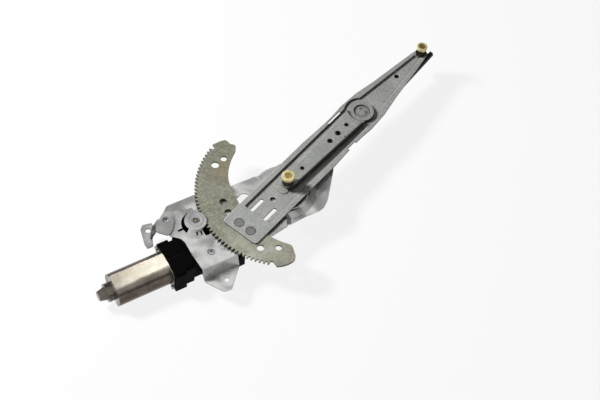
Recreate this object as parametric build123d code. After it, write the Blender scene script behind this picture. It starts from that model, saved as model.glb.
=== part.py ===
from build123d import *
import math
import os

os.makedirs("parts", exist_ok=True)

# Power window regulator with a sector gear and two crossed arms, at the middle of its travel.
# Frame: the origin is where the main pivot axis meets the mounting plane of the feet.
# +X runs along the lift arm to its tip roller and +Z points to the glass side.
# Millimetres and degrees throughout.

# ---- driving dimensions -------------------------------------------------------------------
sheet_t = 2.0  # base plate sheet
plate_height = 18.0  # rear face of the base plate above the mounting plane
running_gap = 0.05  # radial clearance of a shaft in its hole
screw_gap = 0.2  # radial clearance of a screw or its head in a sheet
slide_gap = 0.3  # face clearance between moving pieces
mount_hole_r = 3.4
corner_r = 6.0  # rounding of the plate's corners
pivot_corner_r = 20.0  # the same at the pivot end
flange_depth = 4.0  # turned-down edge of the plate
dish_x = 3.0  # centre of the raised dish, a little off the main pivot
dish_r = 34.5
dish_slope = 7.5
bead_r = 30.0  # stiffening bead inside the dish's edge
bead_half = 2.0
bead_rise = 0.7
rim_drop = 4.0  # rim round the dish under the rest of the plate
rim_from = -138  # the dropped rim starts here and sweeps round the pivot end
rim_sweep = 242
ramp_w = 6.0
spacer_r = 6.5
spacer_bore_r = 2.5
pivot_bore_r = 3.3
bore_depth = 12.0

# gear pair
tooth_module = 1.8
pressure_angle = 25.0
full_circle_teeth = 128
teeth_towards_tip = 21
teeth_away_from_tip = 20
pinion_teeth = 12
backlash = 0.16
pinion_bearing = 154.6  # direction from the main pivot to the pinion
sector_t = 3.2
sector_lift = 1.0  # sector above the base plate

# arms
arm_t = 2.3
web_drop = 3.0  # depth of the pressed web under the lips
pivot_to_hub = 170.0
hub_to_tip = 138.0
front_length = 162.0
arm_pad_end = 91.0
arm_pad_half = 28.0
arm_half = 27.0
tip_r = 9.0
web_half = 21.0
web_bulge_r = 24.5  # the web widens round the hub
web_start = 55.0  # the pad steps down to the web this far from the pivot
lip_gap = 0.8  # equalizer above the lips
layer_gap = 0.5  # other arm layers above each other
channel_t = 2.0
channel_depth = 4.7
channel_flare = 1.6  # each side of a channel leans out this far
bend_r = 1.8  # outer radius of a channel's bends
front_end_half = 8.4
neck_half = 13.8
rear_hub_half = 15.4
rear_end_half = 9.6
rear_overhang = 17.0  # rear half beyond its roller
hub_r = 16.6
hub_cup_r = 11.2
hub_bush_r = 10.0
disc_drop = 4.0  # hub disc under the equalizer's top
pivot_r = 5.5
pivot_head_r = 7.0
pivot_head_t = 0.8
pivot_foot_r = 11.0
washer_r = 14.0
washer_t = 1.1
boss_rise = 0.6
hub_rivet_r = 1.9
hub_rivet_x = 3.0
hub_rivet_y = 3.7
rivet_r = 6.2
rivet_spacing = 19.2
rivet_x = -79.3

# rollers and studs
front_roller_r = 9.0
roller_r = 7.4
roller_t = 5.2
roller_recess_r = 4.7
stud_flange_r = 7.6
stud_flange_t = 1.6
stud_collar_r = 5.8
stud_height = 16.0
stud_neck_r = 4.5

# gearmotor
motor_heading = -21.7  # direction of the motor shaft, from the can to the worm
worm_distance = 30.0  # worm axis to worm wheel axis
motor_depth = 20.0  # motor axis under the rear face of the base plate
can_r = 22.0
can_flat = 19.5
can_start = -58.0  # open end of the can along the shaft, from the worm wheel axis
can_length = 75.5
can_wall = 1.6
nose_length = 9.5
nose_r = 12.4
cone_length = 10.5
cone_r = 7.5
housing_front = -17.0
housing_under_plate = 1.0
housing_depth = 19.0  # housing under the motor axis
brush_pocket_r = 19.0
can_flange_half = 26.0
magnet_t = 4.0
magnet_gap = 1.0  # air gap round the armature
winding_end = 7.0
wall = 3.0
shaft_r = 3.0
output_r = 4.5
bush_t = 2.0
wheel_teeth = 50
wheel_module = 1.0
wheel_t = 10.0
worm_r = 4.1
worm_half = 16.0
worm_bush_length = 6.0
screw_r = 2.0
screw_head_r = 4.0
dimple_r = 5.6
dimple_depth = 0.7
screw_depth = 12.0
boss_wall = 2.5
worm_end = 34.0
shaft_free_end = 4.0  # between the shaft's end and the end of the worm tube
cover_t = 2.5
brush_depth = 20.0
brush_step = 4.0  # from the brush pocket to the worm tube
connector_w = -29.5
connector_half = 6.5
connector_end = 38.0
connector_drop = 12.0  # connector's mouth below the motor axis
connector_rise = 9.0
socket_depth = 13.0
socket_u = 24.0
socket_length = 22.0
socket_wall = 1.5
pin_spacing = 9.0
core_slots = 8
slot_half = 1.2
slot_depth = 6.0
commutator_r = 8.0
can_screw_r = 1.5
can_screw_inset = 2.8
can_screw_z = 14.0
cap_r = 14.7
opening_r = 18.5

# ---- derived levels and places ------------------------------------------------------------
plate_top = plate_height + sheet_t
sector_bottom = plate_top + sector_lift
sector_top = sector_bottom + sector_t
lip_bottom = sector_top
lip_top = lip_bottom + arm_t
web_bottom = lip_bottom - web_drop
web_top = web_bottom + arm_t
channel_bottom = lip_top + lip_gap
front_top = channel_bottom + channel_depth
front_bottom = front_top - channel_t
cup_bottom = web_top + layer_gap
rear_top = web_bottom - layer_gap
rear_bottom = rear_top - channel_t
rim_top = plate_top - rim_drop
rim_bottom = rim_top - sheet_t
disc_top = front_top - disc_drop
disc_bottom = disc_top - channel_t
cup_floor = cup_bottom + channel_t
core_r = can_r - can_wall - magnet_t - magnet_gap
core_start = can_start - can_length + winding_end + 11
core_end = can_start - winding_end - 9
cap_bottom = sector_top + 2 * slide_gap
cap_top = cap_bottom + sheet_t
motor_z = plate_height - motor_depth
housing_top = plate_height - housing_under_plate
housing_bottom = motor_z - housing_depth

sector_pitch_r = tooth_module * full_circle_teeth / 2
pinion_pitch_r = tooth_module * pinion_teeth / 2
gear_distance = sector_pitch_r + pinion_pitch_r
tooth_angle = 360 / full_circle_teeth
sector_root_r = sector_pitch_r - 1.25 * tooth_module
rim_r = sector_root_r - 1
hub_x = pivot_to_hub
tip_x = pivot_to_hub + hub_to_tip
front_x = pivot_to_hub - front_length
can_end = can_start - can_length
wheel_r = wheel_module * wheel_teeth / 2
wheel_bottom = motor_z - wheel_t / 2
wheel_top = motor_z + wheel_t / 2
chamber_r = wheel_r + wheel_module + wall + 1
chamber_top = wheel_top + 2 + wall
chamber_bottom = wheel_bottom - 4
wheel_w = worm_distance
tower_r = output_r + running_gap + bush_t + wall
boss_r = screw_head_r + boss_wall
brush_pocket = can_start + brush_depth
worm_bush_start = brush_pocket + brush_step
worm_bush_end = worm_bush_start + worm_bush_length
worm_tube_r = worm_r + 1 + wall
shaft_end = worm_end - shaft_free_end
connector_bottom = motor_z - connector_drop
connector_top = motor_z + connector_rise
can_screw_w = can_flange_half - can_screw_inset
can_screw_places = [(can_screw_w, motor_z + can_screw_z), (-can_screw_w, motor_z - can_screw_z)]
screw_places = [(-31.6, 51.4), (-1.7, -17.3), (36.0, 38.0)]


# ---- helpers ------------------------------------------------------------------------------
def polar(radius, angle):
    return radius * math.cos(math.radians(angle)), radius * math.sin(math.radians(angle))


def post(radius, x, y, bottom, top):
    """Upright cylinder between two levels."""
    return Pos(x, y, (bottom + top) / 2) * Cylinder(radius, top - bottom)


def block(x1, x2, y1, y2, bottom, top):
    """Box between three pairs of limits."""
    return Pos((x1 + x2) / 2, (y1 + y2) / 2, (bottom + top) / 2) * Box(x2 - x1, y2 - y1, top - bottom)


def prism(face, bottom, top):
    return Pos(0, 0, bottom) * extrude(face, top - bottom, dir=(0, 0, 1))


def polygon(points, corner=0):
    face = make_face(Polyline(*points, close=True))
    if corner:
        face = fillet(face.vertices(), corner)
    return face


def mirrored(points):
    """Closed outline from one side's points, mirrored over the X axis."""
    return points + [(x, -y) for x, y in reversed(points)]


def bar(radius, start, end):
    """Cylinder along the motor shaft, in the motor's own frame."""
    return Pos((start + end) / 2, 0, motor_z) * Rot(0, 90, 0) * Cylinder(radius, end - start)


pinion_x, pinion_y = polar(gear_distance, pinion_bearing)
side_x, side_y = polar(worm_distance, motor_heading + 90)
motor_frame = Pos(pinion_x - side_x, pinion_y - side_y, 0) * Rot(0, 0, motor_heading)


def involute(angle):
    return math.tan(angle) - angle


def tooth_flank(teeth, side, addendum):
    """Points of one flank, from root to tip, as radius and angle off the tooth's centre line."""
    pitch_r = tooth_module * teeth / 2
    phi = math.radians(pressure_angle)
    base_r = pitch_r * math.cos(phi)
    root_r = pitch_r - 1.25 * tooth_module
    tip = pitch_r + addendum
    half = (math.pi * tooth_module / 2 - backlash) / (2 * pitch_r)
    start = max(base_r, root_r)
    radii = [start + (tip - start) * step / 4 for step in range(5)]
    if root_r < base_r:
        radii = [root_r] + radii
    points = []
    for radius in radii:
        at = math.acos(min(1, base_r / radius))
        points.append((radius, side * math.degrees(half + involute(phi) - involute(at))))
    return points


def tooth_points(teeth, centre, addendum):
    """Outline points of one tooth centred on an angle, in order of rising angle."""
    lower = tooth_flank(teeth, -1, addendum)
    upper = tooth_flank(teeth, 1, addendum)
    return [polar(r, centre + a) for r, a in lower + upper[::-1]]


# ---- base ---------------------------------------------------------------------------------
plate_outline = [
    (-150.5, 66), (-140, 93), (-118.5, 99.7), (-82.7, 84.9), (-39.2, 57.4), (-13.3, 46), (34.3, 32.5),
    (64.3, 26.5), (84.3, 3.5), (81.4, -22.8), (30.4, -51.3), (15.5, -55.4), (-8.5, -45.5), (-30.5, -38.5),
    (-71.5, -29.1), (-113.5, -15.6), (-161.5, 0.6), (-151.6, 29), (-144.8, 45), (-144.2, 52),
]
opening_outline = [(-60, -22), (-28, -22), (-28, 22), (-38, 39), (-52, 39), (-62, 18)]
spacer_places = [(60, 9), (64, -14)]
press_pit = (-31, -27.5, 3.2)  # place and radius
cap_edge = 0.8
skirt_from = 186
skirt_sweep = 70
slot_angles = [228, 246]
leg_angle = 64
leg_half = 4.5
mesh_hole = (-114.5, 35)
mesh_hole_r = 5.5
lower_foot_outline = [(-24.5, -30), (-24.5, -45), (-10, -68), (1, -69.5), (13, -56.5), (26, -43),
                      (26, -30)]
lower_hole = (1.5, -54.5)  # in the motor's own frame
side_pad_outline = [(-52, 40), (-39.5, 27.5), (-30.5, 34.5), (-24, 43.8), (-21.9, 51.4), (-24.6, 58),
                    (-31, 62), (-41.3, 54.5)]
side_foot_outline = [(-19, 2.5), (-24, 9.5), (-18.5, 14), (3.5, 22.5), (10.5, 21), (15.5, 9.5), (9, 5),
                     (-9, 5)]
side_hole = (3, 12.5)  # along and across the side bracket's fold
fold_half = 9.0
fold_place = (-46, 48.5)
fold_heading = 56


def turned(section, x, start, sweep):
    """Section turned part of a circle about an upright axis on the X axis."""
    face = Plane.XZ * polygon(section)
    return Pos(x, 0, 0) * Rot(0, 0, start) * revolve(face, axis=Axis.Z, revolution_arc=sweep)


def pressed_sheet(face):
    """Plate whose rim is pressed down round a dish at the pivot end."""
    far = 2 * dish_r + 80
    slope_r = dish_r + dish_slope
    high = [(dish_r, rim_bottom), (far, rim_bottom), (far, plate_top), (dish_r, plate_top)]
    low = [(slope_r, rim_bottom), (far, rim_bottom), (far, rim_top), (slope_r, rim_top)]
    slope = [(dish_r, plate_height), (dish_r, plate_top), (slope_r, rim_top), (slope_r, rim_bottom)]
    ramp = [(0, plate_height), (0, plate_top), (ramp_w, rim_top), (ramp_w, rim_bottom)]
    rim = turned(low, dish_x, rim_from, rim_sweep)
    ramps = Part()
    for angle, turn in ((rim_from, 1), (rim_from + rim_sweep, -1)):
        place = Pos(dish_x, 0, 0) * Rot(0, 0, angle)
        rim -= place * block(0, far, -ramp_w, ramp_w, rim_bottom, rim_top)
        side = Plane.YZ * polygon([(turn * y, z) for y, z in ramp])
        ramps += place * Pos(dish_r, 0, 0) * extrude(side, far, dir=(1, 0, 0))
    sheet = prism(face, plate_height, plate_top) - turned(high, dish_x, rim_from, rim_sweep)
    sheet += (rim + ramps) & prism(face, rim_bottom, plate_top)
    return sheet + turned(slope, dish_x, rim_from, rim_sweep)


def countersink(u, w, top):
    """Dimple and conical seat for a gearmotor screw in a sheet, in the motor's own frame."""
    seat_t = sheet_t - dimple_depth
    hole_r = screw_r + screw_gap
    head_r = screw_head_r + screw_gap
    seat = Pos(u, w, top - dimple_depth - seat_t / 2) * Cone(hole_r, head_r, seat_t)
    return seat + Pos(u, w, top - dimple_depth / 2) * Cone(head_r, dimple_r, dimple_depth)


def bridge_section(inner):
    """Profile of the drawn strap between the cap and the plate."""
    return [
        (inner, cap_bottom), (inner, cap_top - cap_edge), (cap_r, cap_top - cap_edge),
        (cap_r + 2.5, plate_top + 3), (cap_r + 5.5, plate_top + 0.9), (cap_r + 9.5, plate_top),
        (cap_r + 9.5, plate_height), (cap_r + 5, plate_height), (cap_r + 1.5, plate_top + 1),
        (cap_r - 1.5, cap_bottom),
    ]


def bridge():
    """Cap over the pinion, carried by a drawn skirt on one side and a leg on the other."""
    cap = post(cap_r, 0, 0, cap_bottom, cap_top)
    cap = chamfer(cap.edges().sort_by(Axis.Z)[-1:], cap_edge)
    cap += turned(bridge_section(6), 0, skirt_from, skirt_sweep)
    for angle in slot_angles:
        cap -= Rot(0, 0, angle) * block(cap_r + 1.5, cap_r + 6.5, -1.1, 1.1, plate_height, cap_bottom)
    leg = extrude(Plane.XZ * polygon(bridge_section(6)), leg_half, both=True)
    cap += Rot(0, 0, leg_angle) * leg
    cap -= post(output_r + running_gap, 0, 0, cap_bottom, cap_top)
    return Pos(pinion_x, pinion_y, 0) * cap


def lower_foot():
    """Flange folded down beside the gearmotor, with a three-cornered foot."""
    section = [
        (-33, plate_top), (-37, plate_top), (-42.5, sheet_t), (-72, sheet_t), (-72, 0), (-40.7, 0),
        (-35.2, plate_height), (-33, plate_height),
    ]
    fold = extrude(Plane.YZ * polygon(section), 27, both=True)
    foot = fold & prism(polygon(lower_foot_outline, 4), 0, plate_top)
    return motor_frame * (foot - post(mount_hole_r, *lower_hole, 0, sheet_t))


def plate_face():
    """Outline of the base plate, with wider corners at the pivot end."""
    face = polygon(plate_outline)
    face = fillet([corner for corner in face.vertices() if corner.X > dish_x], pivot_corner_r)
    return fillet([corner for corner in face.vertices() if corner.X < 0], corner_r)


def dish_bead():
    """Ridge pressed up along the free edge of the dish."""
    section = [
        (bead_r - bead_half, plate_height), (bead_r - bead_half, plate_top),
        (bead_r - bead_half / 2, plate_top + bead_rise), (bead_r + bead_half / 2, plate_top + bead_rise),
        (bead_r + bead_half, plate_top), (bead_r + bead_half, plate_height),
    ]
    return turned(section, dish_x, rim_from, -rim_from - 25)


def base_plate():
    face = plate_face()
    sheet = pressed_sheet(face)
    flange = prism(face - offset(face, -sheet_t), plate_height - flange_depth, plate_height)
    sheet += flange & block(-70, -36, -100, 100, 0, plate_top)
    sheet -= prism(polygon(opening_outline, 5), plate_height, plate_top)
    sheet -= post(opening_r, pinion_x, pinion_y, plate_height, plate_top)
    sheet -= post(mesh_hole_r, *mesh_hole, plate_height, plate_top)
    sheet -= Pos(-134, 61.5, 0) * Rot(0, 0, 160) * block(-4, 4, -1.5, 1.5, plate_height, plate_top)
    sheet += bridge()
    sheet += lower_foot()
    sheet += dish_bead()
    x, y, radius = press_pit
    sheet -= Pos(x, y, plate_top - sheet_t / 4) * Cone(radius / 2, radius, sheet_t / 2)
    sheet -= post(pivot_r - 2, 0, 0, plate_height, plate_top)
    for x, y in spacer_places:
        sheet -= post(spacer_r - 3, x, y, rim_bottom, rim_top)
    for u, w in screw_places:
        sheet -= motor_frame * post(screw_r + screw_gap, u, w, plate_height, plate_top)
    for u, w in screw_places[1:]:
        sheet -= motor_frame * countersink(u, w, plate_top)
    return sheet


def side_bracket():
    """Separate stamped foot, clamped on the plate by one gearmotor screw."""
    bracket = prism(polygon(side_pad_outline, 4), plate_top, plate_top + sheet_t)
    edge = Pos(*fold_place, 0) * Rot(0, 0, fold_heading)
    section = [
        (-3, plate_top), (-3, plate_top + sheet_t), (1, plate_top + sheet_t), (8, sheet_t), (9, sheet_t),
        (9, 0), (6.5, 0), (-0.5, plate_top),
    ]
    bracket += edge * extrude(Plane.YZ * polygon(section), fold_half, both=True)
    bracket += edge * prism(polygon(side_foot_outline, 2), 0, sheet_t)
    bracket -= edge * post(mount_hole_r, *side_hole, 0, sheet_t)
    bracket -= countersink(*screw_places[0], plate_top + sheet_t)
    return motor_frame * bracket


def main_pivot():
    """Shoulder stud with a thin riveted head over the lift arm and a tapped foot on the door panel."""
    shoulder_top = web_top + slide_gap
    stud = post(pivot_r, 0, 0, plate_top, shoulder_top)
    stud += post(pivot_r - 2, 0, 0, plate_height, plate_top)
    stud += post(pivot_foot_r, 0, 0, 0, plate_height)
    stud -= post(pivot_bore_r, 0, 0, 0, bore_depth)
    head = post(pivot_head_r, 0, 0, shoulder_top, shoulder_top + pivot_head_t)
    return stud + chamfer(head.edges().sort_by(Axis.Z)[-1:], pivot_head_t / 2)


def pivot_washer():
    washer = post(washer_r, 0, 0, plate_top, plate_top + washer_t)
    return washer - post(pivot_r + running_gap, 0, 0, plate_top, plate_top + washer_t)


def panel_spacers():
    """Tapped spacers riveted under the plate's pivot end; their rear faces meet the door panel."""
    spacers = Part()
    for x, y in spacer_places:
        spacers += post(spacer_r, x, y, 0, rim_bottom) + post(spacer_r - 3, x, y, rim_bottom, rim_top)
        spacers -= post(spacer_bore_r, x, y, 0, bore_depth)
    return spacers


# ---- sector and lift arm ------------------------------------------------------------------
sector_tip_end = [(-6, 117.4), (2, 114.5), (11.3, 107.5), (10.8, 99.8), (13, 95), (8.5, 89.3), (3, 86.8)]
sector_inner = [(3, 86.8), (-15.3, 79.5), (-36, 63.9), (-50.1, 40.4), (-59.5, 20), (-67, -8), (-68.3, -31.2),
                (-65.2, -47.3), (-61.6, -58)]
sector_low_end = [(-61.6, -58), (-61.6, -65), (-66, -71.2), (-69, -75.6), (-75, -79), (-82, -78),
                  (-90, -74.3), (-97.2, -68.2)]
sector_holes = [(-28.9, 93.3, 5.2), (-13.8, 91.4, 4.3), (-67, 46.7, 5.2), (-75.2, 31.5, 4.8),
                (-89.7, -34.7, 4.8), (-74.2, -52, 4.2)]


def sector_gear():
    first = pinion_bearing - (teeth_towards_tip - 0.5) * tooth_angle
    last = pinion_bearing + (teeth_away_from_tip - 0.5) * tooth_angle
    teeth = []
    for number in range(teeth_towards_tip + teeth_away_from_tip):
        teeth += tooth_points(full_circle_teeth, first + number * tooth_angle, tooth_module)
    back = [polar(rim_r - 6, last - step * (last - first) / 24) for step in range(25)]
    ring = make_face(Polyline(*teeth, *back, close=True))
    start = polar(rim_r, last + 3)
    end = polar(rim_r, first - 3)
    rim = ThreePointArc(start, polar(rim_r, pinion_bearing), end)
    outline = [rim, Line(end, sector_tip_end[0]), Spline(*sector_tip_end), Spline(*sector_inner)]
    outline += [Spline(*sector_low_end), Line(sector_low_end[-1], start)]
    sector = prism(make_face(outline) + ring, sector_bottom, sector_top)
    for x, y, radius in sector_holes:
        sector -= post(radius, x, y, sector_bottom, sector_top)
    for side in (-1, 1):
        sector -= post(rivet_r, rivet_x, side * rivet_spacing / 2, sector_bottom, sector_top)
    return sector


def sector_rivets():
    rivets = Part()
    for side in (-1, 1):
        rivets += post(rivet_r, rivet_x, side * rivet_spacing / 2, sector_bottom, lip_top)
    return rivets


arm_side = [(-arm_pad_end, arm_pad_half), (hub_x - 95, arm_pad_half), (hub_x - 50, arm_half - 1),
            (hub_x - 35, arm_half - 1), (hub_x - 12, arm_half + 0.6), (hub_x + 20, arm_half - 1.4),
            (hub_x + 56, arm_half - 7.5), (tip_x - 41, tip_r + 5.5), (tip_x, tip_r)]
web_side = [(-web_start, web_half), (hub_x - 10, web_half), (hub_x + 16, web_half - 4),
            (tip_x - 6, tip_r - 4)]
web_slot_x = 13.5 - web_start
web_slots = [(web_slot_x, -11, 25, 5), (web_slot_x, 11, 25, 5)]
wall_slot = (hub_x - 33, web_half + 1.2, 27, 2.8)
web_holes = [(-21, 0.7, 3.9), (tip_x - 54, 2, 3.5)]


def web_outline(grow, level):
    """Outline of the sunk web, grown outwards, at one level."""
    start, end = web_side[0][0] - grow, web_side[-1][0] + grow
    side = [(min(max(x, start), end), y + grow) for x, y in web_side]
    side[0] = (start, web_half + grow)
    side[-1] = (end, web_side[-1][1] + grow)
    face = polygon(mirrored(side), 2) + Pos(hub_x, 0) * Circle(web_bulge_r + grow)
    return Pos(0, 0, level) * face


def lift_arm():
    """Pressed arm: flat pad and lips, with the web drawn down between them."""
    blank = polygon(mirrored(arm_side), 5) + Pos(tip_x, 0) * Circle(tip_r)
    arm = prism(blank, lip_bottom, lip_top)
    arm += loft([web_outline(0.2, web_bottom), web_outline(2.2, lip_top)], ruled=True)
    arm -= loft([web_outline(-1.6, web_top), web_outline(0, lip_top)], ruled=True)
    arm -= post(pivot_r + running_gap, 0, 0, web_bottom, web_top)
    arm -= post(hub_bush_r + running_gap, hub_x, 0, web_bottom, web_top)
    arm -= post(stud_neck_r, tip_x, 0, lip_bottom, lip_top)
    for x, y, radius in web_holes:
        arm -= post(radius, x, y, web_bottom, web_top)
    for x, y, length, width in web_slots:
        arm -= prism(Pos(x, y) * SlotOverall(length, width), web_bottom, web_top)
    x, y, length, width = wall_slot
    arm -= prism(Pos(x, y) * SlotOverall(length, width), web_bottom, lip_top)
    for side in (-1, 1):
        arm -= post(rivet_r, rivet_x, side * rivet_spacing / 2, lip_bottom, lip_top)
    return arm - block(hub_x - 62, hub_x - 46, -arm_half - 1, -arm_half + 3.5, lip_bottom, lip_top)


# ---- equalizer ----------------------------------------------------------------------------
# distance from the hub, offset and radius
equalizer_holes = [(35.2, 0, 2.9), (54.1, 0, 3.8), (71.6, 0, 3.7), (131.3, 0, 2.8), (51.9, -10.6, 1)]
rear_end_cut = [(4, 20), (4, 9.5), (11, 2), (11, -5.4), (30, -5.4), (30, 20)]  # measured from the tip


def channel_section(x, half, level):
    """Cross-section of a shallow channel with leaning sides, at one place along X."""
    foot = half + channel_flare
    low = level - channel_depth
    wall_w = channel_t * math.hypot(channel_flare, channel_depth) / channel_depth
    inner = half + channel_flare * channel_t / channel_depth - wall_w
    points = [
        (-half, level), (half, level), (foot, low), (foot - wall_w, low), (inner, level - channel_t),
        (-inner, level - channel_t), (wall_w - foot, low), (-foot, low),
    ]
    face = polygon(points)
    face = fillet(face.vertices().sort_by(Axis.Y)[-2:], bend_r)
    return Plane(origin=(x, 0, 0), x_dir=(0, 1, 0), z_dir=(1, 0, 0)) * face


def channel(x1, half1, x2, half2, level):
    return loft([channel_section(x1, half1, level), channel_section(x2, half2, level)], ruled=True)


def hub_neck():
    """Conical step from the equalizer's arm down to its hub disc, closed at both sides."""
    outer_r = hub_r + disc_drop
    ramp = [
        (hub_r - 2, disc_bottom), (hub_r - 2, disc_top), (hub_r, disc_top), (outer_r, front_top),
        (outer_r + 2, front_top), (outer_r + 2, front_bottom), (outer_r - 0.5, front_bottom),
        (hub_r - 0.5, disc_bottom),
    ]
    cheek = [
        (hub_r - 2, disc_bottom), (hub_r - 2, disc_top), (hub_r, disc_top), (outer_r, front_top),
        (outer_r + 1, front_top), (outer_r + 1, channel_bottom),
    ]
    half_angle = math.degrees(math.asin((neck_half + channel_flare / 2) / outer_r))
    cheek_sweep = math.degrees(channel_t / outer_r)
    neck = turned(ramp, hub_x, 180 - half_angle, 2 * half_angle)
    neck += turned(cheek, hub_x, 180 - half_angle, cheek_sweep)
    return neck + turned(cheek, hub_x, 180 + half_angle - cheek_sweep, cheek_sweep)


def equalizer_front():
    """Wedge-shaped channel that steps down to a disc and a cup at the hub."""
    arm = channel(front_x, front_end_half, hub_x - hub_r / 2, neck_half, front_top)
    arm += post(front_end_half, front_x, 0, front_bottom, front_top)
    arm -= post(hub_r + disc_drop, hub_x, 0, channel_bottom, front_top)
    arm += hub_neck()
    arm += post(hub_r, hub_x, 0, disc_bottom, disc_top)
    cup = Cone(hub_cup_r + 1, hub_cup_r + 3, disc_top - cup_bottom)
    arm += Pos(hub_x, 0, (cup_bottom + disc_top) / 2) * cup
    hollow = Cone(hub_cup_r - 1, hub_cup_r, disc_top - cup_floor)
    arm -= Pos(hub_x, 0, (cup_floor + disc_top) / 2) * hollow
    arm += post(hub_cup_r - 4, hub_x, 0, cup_floor, cup_floor + boss_rise)
    for from_hub, y, radius in equalizer_holes:
        arm -= post(radius, hub_x - from_hub, y, channel_bottom, front_top)
    arm -= post(stud_neck_r, front_x, 0, front_bottom, front_top)
    return arm - hub_rivets()


def equalizer_rear():
    """Channel whose end is cut back beside one wall, which is left as a tongue."""
    end_x = tip_x + rear_overhang
    arm = channel(hub_x + channel_depth, rear_hub_half, end_x, rear_end_half, rear_top)
    arm += post(hub_r, hub_x, 0, rear_bottom, rear_top)
    arm -= prism(Pos(tip_x, 0) * polygon(rear_end_cut), rear_top - channel_depth, rear_top)
    arm -= post(stud_neck_r, tip_x, 0, rear_bottom, rear_top)
    return arm - hub_rivets()


def hub_bush():
    return post(hub_bush_r, hub_x, 0, rear_top, cup_bottom) - hub_rivets()


def hub_rivets():
    """Two flush rivets through the hub cup, the bush and the rear half."""
    rivets = Part()
    top = cup_floor + boss_rise
    for side in (-1, 1):
        rivets += post(hub_rivet_r, hub_x + hub_rivet_x, side * hub_rivet_y, rear_bottom, top)
    return rivets


# ---- rollers ------------------------------------------------------------------------------
def roller_stud(sheet):
    """Stud with a broad flange; its neck passes down through a sheet of the given thickness."""
    stud = post(stud_neck_r, 0, 0, -sheet, stud_height - roller_t)
    stud += post(stud_flange_r, 0, 0, 0, stud_flange_t)
    stud += post(stud_collar_r, 0, 0, stud_flange_t, 2 * stud_flange_t)
    stud += post(stud_neck_r - 1, 0, 0, stud_height - roller_t, stud_height - 1.4)
    stud += post(stud_neck_r, 0, 0, stud_height - 2.2, stud_height - 1.4)
    return stud


def roller(radius):
    bottom = stud_height - roller_t + slide_gap
    wheel = post(radius, 0, 0, bottom, stud_height)
    wheel = fillet(wheel.edges(), 0.8)
    wheel -= post(stud_neck_r - 1 + running_gap, 0, 0, bottom, stud_height)
    return wheel - post(roller_recess_r, 0, 0, stud_height - 2.5, stud_height)


# ---- gearmotor ----------------------------------------------------------------------------
brush_case = [
    (can_start, -43, -30, 27.5), (-43, -36, -26, 24), (-36, -30, -26, 27), (-30, housing_front, -22, 24),
]
tube_ribs = [12, 20, 28]
cover_ribs = 6
rib_height = 1.5
rib_t = 1.6


def gearbox_housing():
    """Moulded housing: brush pocket, worm tube, wheel chamber, screw bosses and connector."""
    shell = Part()
    for start, end, low_side, high_side in brush_case:
        step = block(start, end, low_side, high_side, housing_bottom, housing_top)
        shell += fillet(step.edges().filter_by(Axis.X), 4)
    shell += bar(worm_tube_r, housing_front - 1, worm_end + wall)
    for u in tube_ribs:
        shell += bar(worm_tube_r + rib_height, u, u + rib_t)
    shell += post(chamber_r, 0, wheel_w, chamber_bottom, chamber_top)
    shell += post(tower_r, 0, wheel_w, chamber_top, plate_height)
    for u, w in screw_places:
        shell += post(boss_r, u, w, motor_z, plate_height)
        shell += rib(u, w)
    shell += block(housing_front - 1, connector_end, connector_w - connector_half,
                   connector_w + connector_half, connector_bottom, connector_top)
    shell += block(housing_front - 1, 12, connector_w, 0, motor_z - 4, motor_z + 4)
    shell -= post(chamber_r - wall, 0, wheel_w, chamber_bottom, chamber_top - wall)
    shell -= post(output_r + running_gap + bush_t, 0, wheel_w, chamber_top - wall, plate_height)
    shell -= bar(worm_tube_r - wall, worm_bush_start, worm_end)
    shell -= bar(brush_pocket_r, can_start, brush_pocket)
    shell -= bar(shaft_r + 1, brush_pocket, worm_bush_start)
    socket_half = connector_half - socket_wall
    shell -= block(socket_u - socket_length / 2, socket_u + socket_length / 2, connector_w - socket_half,
                   connector_w + socket_half, connector_bottom, connector_bottom + socket_depth)
    shell -= pin_blades()
    for u, w in screw_places:
        shell -= post(screw_r, u, w, plate_height - screw_depth, plate_height)
    for w, z in can_screw_places:
        shell -= Pos(can_start + 5, w, z) * Rot(0, 90, 0) * Cylinder(can_screw_r, 10)
    return motor_frame * shell


def rib(u, w):
    """Rib that ties a screw boss to the wheel chamber or the worm tube."""
    target = (0, wheel_w) if w > 0 else (0, 0)
    length = math.dist((u, w), target)
    heading = math.degrees(math.atan2(w - target[1], u - target[0]))
    rib_bar = block(0, length, -2.5, 2.5, motor_z, chamber_top)
    keep_out = post(chamber_r - wall, 0, wheel_w, chamber_bottom, chamber_top - wall)
    return Pos(*target, 0) * Rot(0, 0, heading) * rib_bar - keep_out


def gearbox_cover():
    cover = post(chamber_r, 0, wheel_w, chamber_bottom - cover_t, chamber_bottom)
    cover += post(chamber_r - wall, 0, wheel_w, chamber_bottom, chamber_bottom + 1)
    cover -= post(output_r + running_gap, 0, wheel_w, chamber_bottom - cover_t + 1, chamber_bottom + 1)
    outside = chamber_bottom - cover_t
    cover += post(output_r + 5, 0, wheel_w, outside - 1.5 * rib_height, outside)
    for number in range(cover_ribs):
        rib_bar = block(0, chamber_r - wall, -rib_t / 2, rib_t / 2, outside - rib_height, outside)
        cover += Pos(0, wheel_w, 0) * Rot(0, 0, (number + 0.5) * 360 / cover_ribs) * rib_bar
    for start, end, low_side, high_side in brush_case:
        cover -= block(start, end + slide_gap, low_side, high_side + slide_gap, outside - 5, plate_height)
    return motor_frame * cover


def gearbox_screws():
    """Three countersunk screws through the plate into the housing."""
    screws = Part()
    for number, (u, w) in enumerate(screw_places):
        top = plate_top + (sheet_t if number == 0 else 0)
        seat_t = sheet_t - dimple_depth
        screws += post(screw_r, u, w, plate_height - screw_depth + 2, top - sheet_t)
        screws += Pos(u, w, top - dimple_depth - seat_t / 2) * Cone(screw_r, screw_head_r, seat_t)
    return motor_frame * screws


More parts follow.
